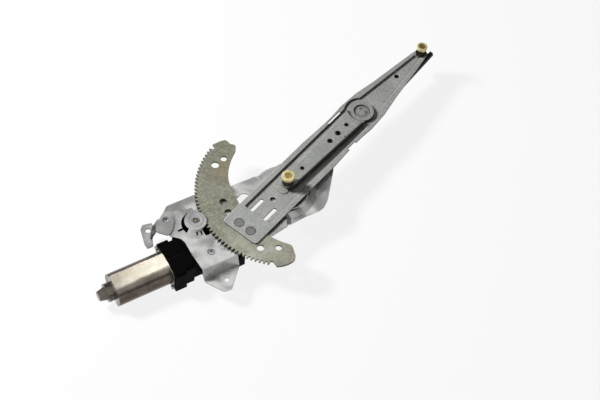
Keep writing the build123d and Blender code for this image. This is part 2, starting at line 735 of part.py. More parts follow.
def output_bush():
    bottom = chamber_top - wall
    sleeve = post(output_r + running_gap + bush_t, 0, wheel_w, bottom, plate_height)
    return motor_frame * (sleeve - post(output_r + running_gap, 0, wheel_w, bottom, plate_height))


def output_shaft():
    """Shaft with the driving flange of the worm wheel; its top end runs in the bridge cap."""
    shaft = post(output_r, 0, wheel_w, chamber_bottom - cover_t + 1 + slide_gap, cap_bottom + 1.2)
    shaft += post(output_r - 1.5, 0, wheel_w, cap_bottom + 1.2, cap_top + 0.8)
    shaft += post(output_r + 4, 0, wheel_w, wheel_bottom + 1, wheel_top - 1)
    return motor_frame * chamfer(shaft.edges().sort_by(Axis.Z)[-1:], 0.8)


def damper():
    """Rubber ring between the worm wheel and the shaft."""
    ring = post(wheel_r - 8, 0, wheel_w, wheel_bottom + 1, wheel_top - 1)
    return motor_frame * (ring - post(output_r + 4, 0, wheel_w, wheel_bottom + 1, wheel_top - 1))


def worm_wheel():
    tip = wheel_r + 0.6
    root = wheel_r - 1.2
    step = 360 / wheel_teeth
    points = []
    for number in range(wheel_teeth):
        centre = number * step
        for radius, offset in ((root, -0.32), (tip, -0.14), (tip, 0.14), (root, 0.32)):
            points.append(polar(radius, centre + offset * step))
    wheel = prism(Pos(0, wheel_w) * polygon(points), wheel_bottom, wheel_top)
    return motor_frame * (wheel - post(wheel_r - 8, 0, wheel_w, wheel_bottom, wheel_top))


def drive_pinion():
    points = []
    for number in range(pinion_teeth):
        points += tooth_points(pinion_teeth, pinion_bearing + 180 + number * 360 / pinion_teeth, tooth_module)
    pinion = prism(make_face(Polyline(*points, close=True)), plate_top + slide_gap, cap_bottom - slide_gap)
    root_r = pinion_pitch_r - 1.25 * tooth_module
    pinion += post(root_r - 0.3, 0, 0, plate_height + slide_gap, plate_top + slide_gap)
    pinion -= post(output_r, 0, 0, plate_height, cap_bottom)
    return Pos(pinion_x, pinion_y, 0) * pinion


def flattened(radius, flat, start, end):
    """Cylinder along the motor shaft with two flats."""
    return bar(radius, start, end) & block(start, end, -radius, radius, motor_z - flat, motor_z + flat)


def motor_can():
    """Drawn can with two flats, a bearing nose and a screwed flange."""
    can = flattened(can_r, can_flat, can_end, can_start)
    can += bar(nose_r, can_end - nose_length, can_end)
    cone_end = can_end - nose_length - cone_length
    cone = Pos((can_end - nose_length + cone_end) / 2, 0, motor_z) * Rot(0, -90, 0)
    can += cone * Cone(cone_r + 1.5, cone_r - 1, cone_length)
    flange = block(can_start - can_wall, can_start, -can_flange_half, can_flange_half,
                   housing_bottom + 1, housing_top - 1)
    can += fillet(flange.edges().filter_by(Axis.X), corner_r)
    can -= flattened(can_r - can_wall, can_flat - can_wall, can_end + can_wall, can_start)
    can -= bar(shaft_r + 5, can_end - nose_length + can_wall, can_end + can_wall)
    can -= bar(shaft_r + 1, cone_end + 3, can_end)
    for w, z in can_screw_places:
        can -= Pos(can_start, w, z) * Rot(0, 90, 0) * Cylinder(can_screw_r + screw_gap, 4)
    return motor_frame * can


def can_screws():
    """Two screws that hold the can's flange on the housing."""
    screws = Part()
    for w, z in can_screw_places:
        place = Pos(can_start, w, z) * Rot(0, 90, 0)
        screws += place * Pos(0, 0, 3.5) * Cylinder(can_screw_r, 7 + 2 * can_wall)
        screws += place * Pos(0, 0, -can_wall - 1) * Cylinder(can_screw_r + 1.3, 2)
    return motor_frame * screws


def magnets():
    """Two arc magnets on the round sides of the can."""
    outer_r = can_r - can_wall
    start, end = core_start - 6, core_end + 6
    ring = bar(outer_r, start, end) - bar(core_r + magnet_gap, start, end)
    half = math.sin(math.radians(48)) * outer_r
    keep = block(can_end, can_start, -can_r, can_r, motor_z - half, motor_z + half)
    core = block(can_end, can_start, -9, 9, motor_z - can_r, motor_z + can_r)
    return motor_frame * ((ring & keep) - core)


def end_bearing():
    ring = bar(shaft_r + 5, can_end - nose_length + can_wall, can_end - 1)
    return motor_frame * (ring - bar(shaft_r + running_gap, can_end - nose_length, can_end))


def worm_bush():
    ring = bar(worm_tube_r - wall, worm_bush_start, worm_bush_end)
    return motor_frame * (ring - bar(shaft_r + running_gap, worm_bush_start, worm_bush_end))


def thrust_pad():
    return motor_frame * bar(worm_tube_r - wall, shaft_end + 0.1, worm_end)


def armature_shaft():
    """Motor shaft with the worm, turning in the end bearing and the worm bush."""
    shaft = bar(shaft_r, can_end - nose_length - 3, shaft_end)
    return motor_frame * (shaft + bar(worm_r, -worm_half, worm_half))


def round_shaft(piece, number, count):
    """One of several copies of a piece turned round the motor shaft."""
    return Pos(0, 0, motor_z) * Rot(number * 360 / count, 0, 0) * Pos(0, 0, -motor_z) * piece


def armature_core():
    """Slotted stack of laminations."""
    core = bar(core_r, core_start, core_end)
    slot = block(core_start, core_end, core_r - slot_depth, can_r, motor_z - slot_half, motor_z + slot_half)
    for number in range(core_slots):
        core -= round_shaft(slot, number, core_slots)
    return motor_frame * (core - bar(shaft_r, core_start, core_end))


def windings():
    """Coil sides in the slots of the core, with an end turn at each end."""
    start, end = core_start - winding_end, core_end + winding_end
    coils = bar(core_r - 3, start, core_start) + bar(core_r - 3, core_end, end)
    side = block(core_start, core_end, core_r - slot_depth, core_r - 1,
                 motor_z - slot_half, motor_z + slot_half)
    for number in range(core_slots):
        coils += round_shaft(side, number, core_slots)
    return motor_frame * (coils - bar(shaft_r, start, end))


def commutator():
    drum = bar(commutator_r, can_start + 1, can_start + 13)
    cut = block(can_start + 1, can_start + 13, commutator_r - 0.8, can_r, motor_z - 0.25, motor_z + 0.25)
    for number in range(core_slots):
        drum -= round_shaft(cut, number + 0.5, core_slots)
    return motor_frame * (drum - bar(shaft_r, can_start, can_start + 14))


def brush_card():
    card = bar(brush_pocket_r, can_start + 14, can_start + 17)
    return motor_frame * (card - bar(shaft_r + 1, can_start + 13, can_start + 18))


def brushes():
    blocks = Part()
    for side in (-1, 1):
        near = side * (commutator_r + 0.1)
        far = side * (brush_pocket_r - 2)
        blocks += block(can_start + 4, can_start + 14, min(near, far), max(near, far),
                        motor_z - 2.5, motor_z + 2.5)
    return motor_frame * blocks


def pin_blades():
    """Two contact blades standing in the socket, in the motor's own frame."""
    pins = Part()
    for side in (-1, 1):
        middle = socket_u + side * pin_spacing / 2
        pins += block(middle - 1.4, middle + 1.4, connector_w - 0.4, connector_w + 0.4,
                      connector_bottom + 3, connector_bottom + socket_depth + 3)
    return pins


def connector_pins():
    return motor_frame * pin_blades()


# ---- writing the pieces -------------------------------------------------------------------
roller_seats = {
    "tip": (Pos(tip_x, 0, lip_top), arm_t, roller_r),
    "front": (Pos(front_x, 0, front_top), channel_t, front_roller_r),
    "rear": (Pos(tip_x, 0, rear_bottom) * Rot(180, 0, 0), channel_t, roller_r),
}

for name, (seat, sheet, radius) in roller_seats.items():
    export_step(seat * roller_stud(sheet), f"parts/{name}_stud.step")
    export_step(seat * roller(radius), f"parts/{name}_roller.step")

pieces = {
    "base_plate": base_plate,
    "side_bracket": side_bracket,
    "main_pivot": main_pivot,
    "pivot_washer": pivot_washer,
    "panel_spacers": panel_spacers,
    "sector_gear": sector_gear,
    "sector_rivets": sector_rivets,
    "lift_arm": lift_arm,
    "equalizer_front": equalizer_front,
    "equalizer_rear": equalizer_rear,
    "hub_bush": hub_bush,
    "hub_rivets": hub_rivets,
    "gearbox_housing": gearbox_housing,
    "gearbox_cover": gearbox_cover,
    "gearbox_screws": gearbox_screws,
    "output_bush": output_bush,
    "output_shaft": output_shaft,
    "damper": damper,
    "worm_wheel": worm_wheel,
    "drive_pinion": drive_pinion,
    "motor_can": motor_can,
    "can_screws": can_screws,
    "magnets": magnets,
    "end_bearing": end_bearing,
    "worm_bush": worm_bush,
    "thrust_pad": thrust_pad,
    "armature_shaft": armature_shaft,
    "armature_core": armature_core,
    "windings": windings,
    "commutator": commutator,
    "brush_card": brush_card,
    "brushes": brushes,
    "connector_pins": connector_pins,
}
for name, make in pieces.items():
    export_step(make(), f"parts/{name}.step")
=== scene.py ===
import bpy
import math
from mathutils import Matrix, Vector


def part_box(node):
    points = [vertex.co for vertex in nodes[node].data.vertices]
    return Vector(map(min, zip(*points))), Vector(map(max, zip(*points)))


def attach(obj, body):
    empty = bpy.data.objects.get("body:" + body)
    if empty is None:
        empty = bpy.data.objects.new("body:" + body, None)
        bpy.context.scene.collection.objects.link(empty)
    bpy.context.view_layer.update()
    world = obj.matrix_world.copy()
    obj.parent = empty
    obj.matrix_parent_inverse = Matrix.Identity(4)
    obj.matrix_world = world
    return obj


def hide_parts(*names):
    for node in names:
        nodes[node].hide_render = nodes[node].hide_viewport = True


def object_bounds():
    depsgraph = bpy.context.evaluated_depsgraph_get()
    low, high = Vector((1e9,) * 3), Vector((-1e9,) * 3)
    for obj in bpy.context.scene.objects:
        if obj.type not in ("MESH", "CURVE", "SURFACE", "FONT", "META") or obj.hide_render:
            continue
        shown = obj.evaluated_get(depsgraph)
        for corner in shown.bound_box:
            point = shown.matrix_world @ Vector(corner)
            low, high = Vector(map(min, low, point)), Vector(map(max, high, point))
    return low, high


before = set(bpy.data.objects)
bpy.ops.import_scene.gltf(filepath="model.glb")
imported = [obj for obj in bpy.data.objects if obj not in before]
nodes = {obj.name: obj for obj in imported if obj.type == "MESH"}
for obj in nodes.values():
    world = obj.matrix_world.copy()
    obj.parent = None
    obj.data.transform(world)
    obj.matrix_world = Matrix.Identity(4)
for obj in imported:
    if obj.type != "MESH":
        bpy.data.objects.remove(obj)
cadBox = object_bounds()
print("frame loaded:", len(nodes), "nodes")


def addNode(tree, kind, settings=None, values=None):
    node = tree.nodes.new(kind)
    for key, value in (settings or {}).items():
        setattr(node, key, value)
    for key, value in (values or {}).items():
        node.inputs[key].default_value = value
    return node


def mixValue(tree, operation, first, second, clamp=False):
    node = addNode(tree, "ShaderNodeMath", {"operation": operation, "use_clamp": clamp})
    for socket, value in zip(node.inputs, (first, second)):
        if isinstance(value, bpy.types.NodeSocket):
            tree.links.new(value, socket)
        else:
            socket.default_value = value
    return node.outputs[0]


def mixColour(tree, mask, first, second):
    node = addNode(tree, "ShaderNodeMix", {"data_type": "RGBA"})
    sockets = [s for s in node.inputs if s.enabled]
    for socket, value in zip(sockets, (mask, first, second)):
        if isinstance(value, bpy.types.NodeSocket):
            tree.links.new(value, socket)
        else:
            socket.default_value = (*value, 1)
    return [s for s in node.outputs if s.enabled][0]


def startMaterial(name):
    material = bpy.data.materials.new(name)
    material.use_nodes = True
    return material, material.node_tree, material.node_tree.nodes["Principled BSDF"]


# camera: where it stands and looks, in metres, and how far it leans, in degrees
camera = {
    "place": (-0.9299, -0.6289, 1.6463), "aim": (0.0014, -0.0267, 0.0242), "lean": 6.98,
    "lens": 90, "sensor": 36, "near": 0.05, "far": 60,
}

# soft lamps: azimuth and elevation they shine from, distance from the aim, size and power
lampAim = (0.03, 0.0, 0.01)
lamps = {
    "keyWindow": {
        "azimuth": 116, "elevation": 41, "distance": 1.8, "size": (0.3, 0.3), "power": 46,
    },
    "topSoftbox": {
        "azimuth": 33, "elevation": 60, "distance": 2.0, "size": (1.1, 0.8), "power": 1.5,
    },
}
# cards that only reflections see: they give the plated faces their light and dark bands
cards = {
    "overCard": {"place": (0.43, 0.19, 0.50), "size": (1.5, 1.3), "level": 0.2},
    "glowCard": {"place": (0.06, 0.135, 0.495), "size": (0.3, 0.23), "level": 1.8},
    "leftCard": {"place": (0.1, 1.38, 0.2), "size": (1.5, 0.5), "level": 0.02},
    "lowCard": {"place": (-0.09, -1.28, 0.22), "size": (1.9, 0.45), "level": 0.3},
    "rightCard": {"place": (1.36, -0.36, 0.44), "size": (2.0, 0.85), "level": 0.02},
    "stripCard": {"place": (1.0, -0.38, 0.535), "size": (1.2, 0.13), "level": 4},
}
# the floor lies a hair under the part; glow is how white it looks where nothing shades it
room = {
    "floorSize": 14, "floorGap": 0.0004, "floorColour": (0.8, 0.8, 0.8), "floorGlow": 0.86,
    "floorRoughness": 0.9, "floorSpecular": 0.15, "skyColour": (1.0, 1.0, 0.99), "skyLevel": 0.05,
}


def placeCamera():
    data = bpy.data.cameras.new("studioCamera")
    data.lens = camera["lens"]
    data.sensor_width = camera["sensor"]
    data.clip_start = camera["near"]
    data.clip_end = camera["far"]
    eye = bpy.data.objects.new("studioCamera", data)
    bpy.context.scene.collection.objects.link(eye)
    place = Vector(camera["place"])
    look = (Vector(camera["aim"]) - place).to_track_quat("-Z", "Y").to_matrix().to_4x4()
    lean = Matrix.Rotation(math.radians(camera["lean"]), 4, "Z")
    eye.matrix_world = Matrix.Translation(place) @ look @ lean
    bpy.context.scene.camera = eye


def placeLamps():
    for name, lamp in lamps.items():
        data = bpy.data.lights.new(name, "AREA")
        data.shape = "RECTANGLE"
        data.size, data.size_y = lamp["size"]
        data.energy = lamp["power"]
        azimuth, elevation = math.radians(lamp["azimuth"]), math.radians(lamp["elevation"])
        flat = math.cos(elevation)
        ray = Vector((math.cos(azimuth) * flat, math.sin(azimuth) * flat, math.sin(elevation)))
        lampObject = bpy.data.objects.new(name, data)
        bpy.context.scene.collection.objects.link(lampObject)
        lampObject.location = Vector(lampAim) + ray * lamp["distance"]
        lampObject.visible_glossy = False  # reflections show the cards and the room, not a lamp
        lampObject.rotation_euler = (-ray).to_track_quat("-Z", "Y").to_euler()


# 1 on camera, glossy and transmission rays, 0 on the diffuse ones that light the pieces
def seenDirectly(tree):
    rays = addNode(tree, "ShaderNodeLightPath")
    total = rays.outputs["Is Camera Ray"]
    for title in ("Is Glossy Ray", "Is Transmission Ray"):
        total = mixValue(tree, "MAXIMUM", total, rays.outputs[title])
    return total


def mixShaders(tree, share, first, second, target):
    mix = addNode(tree, "ShaderNodeMixShader")
    for source, socket in zip((share, first.outputs[0], second.outputs[0]), mix.inputs):
        tree.links.new(source, socket)
    tree.links.new(mix.outputs[0], target.inputs["Surface"])


def dressRoom():
    world = bpy.data.worlds.new("studioRoom")
    bpy.context.scene.world = world
    world.use_nodes = True
    tree = world.node_tree
    backdrop = tree.nodes["Background"]
    backdrop.inputs["Color"].default_value = (*room["skyColour"], 1)
    backdrop.inputs["Strength"].default_value = room["skyLevel"]
    white = addNode(tree, "ShaderNodeBackground", {}, {"Color": (1, 1, 1, 1), "Strength": 1})
    mixShaders(tree, seenDirectly(tree), backdrop, white, tree.nodes["World Output"])

    bpy.ops.object.select_all(action="DESELECT")
    level = cadBox[0].z - room["floorGap"]
    bpy.ops.mesh.primitive_plane_add(size=room["floorSize"], location=(0, 0, level))
    floor = bpy.context.object
    floor.name = "studioFloor"
    material, tree, shader = startMaterial("paperFloor")
    shader.inputs["Base Color"].default_value = (*room["floorColour"], 1)
    shader.inputs["Roughness"].default_value = room["floorRoughness"]
    shader.inputs["Specular IOR Level"].default_value = room["floorSpecular"]
    glow = addNode(tree, "ShaderNodeEmission", {}, {"Strength": 1})
    share = mixValue(tree, "MULTIPLY", seenDirectly(tree), room["floorGlow"])
    mixShaders(tree, share, shader, glow, tree.nodes["Material Output"])
    floor.data.materials.append(material)


def placeCards():
    for name, card in cards.items():
        centre = Vector(card["place"])
        facing = (-centre).to_track_quat("Z", "Y").to_matrix().to_4x4()
        place = Matrix.Translation(centre) @ facing
        bpy.ops.object.select_all(action="DESELECT")
        bpy.ops.mesh.primitive_plane_add(size=1)
        sheet = bpy.context.object
        sheet.name = name
        sheet.data.transform(place @ Matrix.Diagonal((*card["size"], 1, 1)))
        material, tree, shader = startMaterial(name)
        shader.inputs["Base Color"].default_value = (0, 0, 0, 1)
        shader.inputs["Specular IOR Level"].default_value = 0
        shader.inputs["Emission Color"].default_value = (1, 1, 1, 1)
        shader.inputs["Emission Strength"].default_value = card["level"]
        sheet.data.materials.append(material)
        for rays in ("camera", "shadow", "diffuse", "transmission"):
            setattr(sheet, "visible_" + rays, False)


placeCamera()
placeLamps()
dressRoom()
placeCards()
bpy.context.scene.view_settings.view_transform = "Standard"
print("camera, lamps, floor and cards placed")


def makeGroup(name, inputs, outputs):
    group = bpy.data.node_groups.new(name, "ShaderNodeTree")
    for title, (kind, value) in inputs.items():
        socket = group.interface.new_socket(name=title, in_out="INPUT", socket_type=kind)
        socket.default_value = value
    for title, kind in outputs.items():
        group.interface.new_socket(name=title, in_out="OUTPUT", socket_type=kind)
    into, out = group.nodes.new("NodeGroupInput"), group.nodes.new("NodeGroupOutput")
    return group, into.outputs, out.inputs


# cloudy patches on a plated or painted face: a value round 0.5 that drifts slowly
def buildCloudGroup():
    group, into, out = makeGroup("cloudyFilm", {
        "Scale": ("NodeSocketFloat", 30), "Detail": ("NodeSocketFloat", 4),
        "Low": ("NodeSocketFloat", 0), "High": ("NodeSocketFloat", 1),
    }, {"Value": "NodeSocketFloat"})
    link = group.links.new
    place = addNode(group, "ShaderNodeTexCoord")
    noise = addNode(group, "ShaderNodeTexNoise", {}, {"Roughness": 0.6, "Distortion": 0.4})
    spread = addNode(group, "ShaderNodeMapRange", {}, {"From Min": 0.3, "From Max": 0.7})
    link(place.outputs["Object"], noise.inputs["Vector"])
    link(into["Scale"], noise.inputs["Scale"])
    link(into["Detail"], noise.inputs["Detail"])
    link(noise.outputs[0], spread.inputs["Value"])
    link(into["Low"], spread.inputs["To Min"])
    link(into["High"], spread.inputs["To Max"])
    link(spread.outputs[0], out["Value"])
    return group


# crystal spangle of a galvanised face, with a fine pepper over it
def buildSpangleGroup():
    group, into, out = makeGroup("zincSpangle", {
        "Crystal Scale": ("NodeSocketFloat", 260), "Pepper Scale": ("NodeSocketFloat", 900),
    }, {"Crystal": "NodeSocketFloat", "Pepper": "NodeSocketFloat"})
    link = group.links.new
    place = addNode(group, "ShaderNodeTexCoord")
    cells = addNode(group, "ShaderNodeTexVoronoi", {"feature": "F1"}, {"Randomness": 1})
    grey = addNode(group, "ShaderNodeRGBToBW")
    pepper = addNode(group, "ShaderNodeTexNoise", {}, {"Detail": 3, "Roughness": 0.7})
    spread = addNode(group, "ShaderNodeMapRange", {}, {"From Min": 0.35, "From Max": 0.65})
    link(place.outputs["Object"], cells.inputs["Vector"])
    link(place.outputs["Object"], pepper.inputs["Vector"])
    link(into["Crystal Scale"], cells.inputs["Scale"])
    link(into["Pepper Scale"], pepper.inputs["Scale"])
    link(cells.outputs["Color"], grey.inputs[0])
    link(grey.outputs[0], out["Crystal"])
    link(pepper.outputs[0], spread.inputs["Value"])
    link(spread.outputs[0], out["Pepper"])
    return group


# rounded normal and mask of a cut edge, a mask of the hollows, and one of the upright faces; the
# masks carry painted highlight and shade
def buildEdgeGroup():
    group, into, out = makeGroup("cutEdge", {
        "Radius": ("NodeSocketFloat", 0.0005), "Gain": ("NodeSocketFloat", 3),
    }, {
        "Normal": "NodeSocketVector", "Mask": "NodeSocketFloat",
        "Crevice": "NodeSocketFloat", "Side": "NodeSocketFloat",
    })
    link = group.links.new
    bevel = addNode(group, "ShaderNodeBevel", {"samples": 6})
    face = addNode(group, "ShaderNodeNewGeometry")
    dot = addNode(group, "ShaderNodeVectorMath", {"operation": "DOT_PRODUCT"})
    link(into["Radius"], bevel.inputs["Radius"])
    link(bevel.outputs[0], dot.inputs[0])
    link(face.outputs["Normal"], dot.inputs[1])
    lack = mixValue(group, "SUBTRACT", 1, dot.outputs["Value"])
    link(bevel.outputs[0], out["Normal"])
    link(mixValue(group, "MULTIPLY", lack, into["Gain"], True), out["Mask"])

    # ambient occlusion of the piece itself: its hollows and creases get painted shade
    hollow = addNode(
        group, "ShaderNodeAmbientOcclusion", {"samples": 6, "only_local": True},
        {"Distance": 0.004})
    hollowShade = addNode(group, "ShaderNodeMapRange", {}, {"From Min": 0.95, "From Max": 0.45})
    link(hollow.outputs["AO"], hollowShade.inputs["Value"])
    link(hollowShade.outputs[0], out["Crevice"])

    # faces that stand upright, where the normal's rise is low, get a mask for painted shade
    own = addNode(group, "ShaderNodeTexCoord")
    split = addNode(group, "ShaderNodeSeparateXYZ")
    steep = addNode(group, "ShaderNodeMath", {"operation": "ABSOLUTE"})
    uprightShade = addNode(group, "ShaderNodeMapRange", {}, {"From Min": 0.62, "From Max": 0.38})
    link(own.outputs["Normal"], split.inputs[0])
    link(split.outputs["Z"], steep.inputs[0])
    link(steep.outputs[0], uprightShade.inputs["Value"])
    link(uprightShade.outputs[0], out["Side"])
    return group


# long thin scratches along one direction
def buildScratchGroup():
    group, into, out = makeGroup("fineScratch", {
        "Turn": ("NodeSocketVector", (0, 0, 0)), "Scale": ("NodeSocketFloat", 40),
        "Length": ("NodeSocketVector", (1, 30, 30)),
    }, {"Value": "NodeSocketFloat"})
    link = group.links.new
    place = addNode(group, "ShaderNodeTexCoord")
    turn = addNode(group, "ShaderNodeMapping")
    stretch = addNode(group, "ShaderNodeVectorMath", {"operation": "MULTIPLY"})
    noise = addNode(group, "ShaderNodeTexNoise", {}, {"Detail": 2, "Roughness": 0.5})
    spread = addNode(group, "ShaderNodeMapRange", {}, {"From Min": 0.35, "From Max": 0.65})
    link(place.outputs["Object"], turn.inputs["Vector"])
    link(into["Turn"], turn.inputs["Rotation"])
    link(turn.outputs[0], stretch.inputs[0])
    link(into["Length"], stretch.inputs[1])
    link(stretch.outputs[0], noise.inputs["Vector"])
    link(into["Scale"], noise.inputs["Scale"])
    link(noise.outputs[0], spread.inputs["Value"])
    link(spread.outputs[0], out["Value"])
    return group


groups = {
    "cloud": buildCloudGroup(), "spangle": buildSpangleGroup(),
    "edge": buildEdgeGroup(), "scratch": buildScratchGroup(),
}
print("node groups built:", len(groups))


def useGroup(tree, title, values):
    node = addNode(tree, "ShaderNodeGroup", {"node_tree": groups[title]}, values)
    return node.outputs


# a value of 0 to 1 sets the roughness between smooth and rough
def setRoughness(tree, shader, look, value):
    limits = {"To Min": look["smooth"], "To Max": look["rough"]}
    spread = addNode(tree, "ShaderNodeMapRange", {}, limits)
    tree.links.new(value, spread.inputs["Value"])
    tree.links.new(spread.outputs[0], shader.inputs["Roughness"])


def addBump(tree, height, distance, normal):
    bump = addNode(tree, "ShaderNodeBump", {}, {"Strength": 1, "Distance": distance})
    tree.links.new(height, bump.inputs["Height"])
    tree.links.new(normal, bump.inputs["Normal"])
    return bump.outputs[0]


# a soft round patch in the object's own place, broken up by noise
def stainMask(tree, spot):
    place = addNode(tree, "ShaderNodeTexCoord")
    away = addNode(tree, "ShaderNodeVectorMath", {"operation": "SUBTRACT"}, {1: spot["place"]})
    length = addNode(tree, "ShaderNodeVectorMath", {"operation": "LENGTH"})
    fall = addNode(tree, "ShaderNodeMapRange", {}, {
        "From Min": 0, "From Max": spot["radius"], "To Min": spot["strength"], "To Max": 0,
    })
    tree.links.new(place.outputs["Object"], away.inputs[0])
    tree.links.new(away.outputs[0], length.inputs[0])
    tree.links.new(length.outputs["Value"], fall.inputs["Value"])
    patch = useGroup(tree, "cloud", {"Scale": spot["scale"], "Detail": 6})
    return mixValue(tree, "MULTIPLY", fall.outputs[0], patch[0], True)


# how fine and how deep the ragged front of a sweep is, where it says nothing itself
plainSweep = {"scale": 90, "ragged": 0.001}


# rises from 0 to its strength along one direction, its front broken up by noise; it paints shade
# on one side of a piece
def sweepMask(tree, sweep):
    sweep = {**plainSweep, **sweep}
    place = addNode(tree, "ShaderNodeTexCoord")
    along = addNode(
        tree, "ShaderNodeVectorMath", {"operation": "DOT_PRODUCT"}, {1: sweep["along"]})
    rise = addNode(tree, "ShaderNodeMapRange", {}, {
        "From Min": sweep["start"], "From Max": sweep["end"], "To Max": sweep["strength"],
    })
    ragged = useGroup(tree, "cloud", {
        "Scale": sweep["scale"], "Detail": 4, "Low": -sweep["ragged"], "High": sweep["ragged"],
    })
    tree.links.new(place.outputs["Object"], along.inputs[0])
    reach = mixValue(tree, "ADD", along.outputs["Value"], ragged[0])
    tree.links.new(reach, rise.inputs["Value"])
    return rise.outputs[0]


# what a metal has where its own look says nothing; distances in metres
plainMetal = {
    "crystalScale": 500, "pepperScale": 900, "edgeRadius": 0.0005, "edgeGain": 3,
    # the colours of upright faces and of hollows are painted shade
    "uprightShade": 0, "uprightShadeColour": (0.03, 0.03, 0.028),
    "creviceShade": 0.75, "creviceShadeColour": (0.02, 0.02, 0.018),
    "specular": 0.5, "lines": 0.4, "turn": (0, 0, 0), "scratchScale": 25,
    "wave": 0.0003, "waveScale": 18, "grain": 0.00003, "stains": [], "sweeps": [],
}


# one recipe for all the sheet and turned metals; each finish has its own values
def makeMetal(name, look):
    look = {**plainMetal, **look}
    material, tree, shader = startMaterial(name)
    cloud = useGroup(tree, "cloud", {"Scale": look["cloudScale"], "Detail": 5})
    spangle = useGroup(tree, "spangle", {
        "Crystal Scale": look["crystalScale"], "Pepper Scale": look["pepperScale"],
    })
    edge = useGroup(tree, "edge", {"Radius": look["edgeRadius"], "Gain": look["edgeGain"]})
    scratch = useGroup(tree, "scratch", {"Turn": look["turn"], "Scale": look["scratchScale"]})
    base = mixColour(tree, cloud[0], look["dark"], look["light"])
    for title, share in (("Crystal", "crystal"), ("Pepper", "pepper")):
        cover = mixValue(tree, "MULTIPLY", spangle[title], look[share])
        base = mixColour(tree, cover, base, look[share + "Colour"])
    for spot in look["stains"]:
        base = mixColour(tree, stainMask(tree, spot), base, spot["colour"])
    for sweep in look["sweeps"]:
        base = mixColour(tree, sweepMask(tree, sweep), base, sweep["colour"])
    # lighter edge colours paint a highlight along the rounded edges, darker ones a shade line;
    # upright faces and hollows get painted shade
    for title, share in (("Mask", "edge"), ("Side", "uprightShade"), ("Crevice", "creviceShade")):
        cover = mixValue(tree, "MULTIPLY", edge[title], look[share])
        base = mixColour(tree, cover, base, look[share + "Colour"])
    tree.links.new(base, shader.inputs["Base Color"])
    shader.inputs["Specular IOR Level"].default_value = look["specular"]
    shader.inputs["Metallic"].default_value = look["metallic"]
    film = mixValue(tree, "MULTIPLY", cloud[0], 1 - look["lines"])
    lines = mixValue(tree, "MULTIPLY", scratch[0], look["lines"])
    setRoughness(tree, shader, look, mixValue(tree, "ADD", film, lines))
    waves = useGroup(tree, "cloud", {"Scale": look["waveScale"], "Detail": 1})
    wavy = addBump(tree, waves[0], look["wave"], edge["Normal"])
    grainy = addBump(tree, spangle["Pepper"], look["grain"], wavy)
    tree.links.new(grainy, shader.inputs["Normal"])
    return material


plainMoulding = {
    "cloudScale": 40, "crystalScale": 500, "pepperScale": 1400, "edge": 0.3,
    "edgeRadius": 0.0006, "edgeGain": 2, "grain": 0.00004,
}


# one recipe for the moulded and rubber pieces
def makeMoulded(name, look):
    look = {**plainMoulding, **look}
    material, tree, shader = startMaterial(name)
    cloud = useGroup(tree, "cloud", {"Scale": look["cloudScale"], "Detail": 4})
    spangle = useGroup(tree, "spangle", {
        "Crystal Scale": look["crystalScale"], "Pepper Scale": look["pepperScale"],
    })
    edge = useGroup(tree, "edge", {"Radius": look["edgeRadius"], "Gain": look["edgeGain"]})
    base = mixColour(tree, cloud[0], look["dark"], look["light"])
    # the edges are drawn in a paler colour
    paleEdge = mixValue(tree, "MULTIPLY", edge["Mask"], look["edge"])
    base = mixColour(tree, paleEdge, base, look["edgeColour"])
    tree.links.new(base, shader.inputs["Base Color"])
    setRoughness(tree, shader, look, cloud[0])
    shader.inputs["Specular IOR Level"].default_value = look["specular"]
    grainy = addBump(tree, spangle["Pepper"], look["grain"], edge["Normal"])
    tree.links.new(grainy, shader.inputs["Normal"])
    return material


# the gearmotor lies turned clockwise on the plate: where the middle of its worm is, in metres,
# and by how many degrees its shaft is turned, with the cosine and sine of that
motorFrame = {"worm": (-0.12491, 0.02617), "turn": 21.7, "cosine": 0.9291, "sine": 0.3697}
cosine, sine = motorFrame["cosine"], motorFrame["sine"]

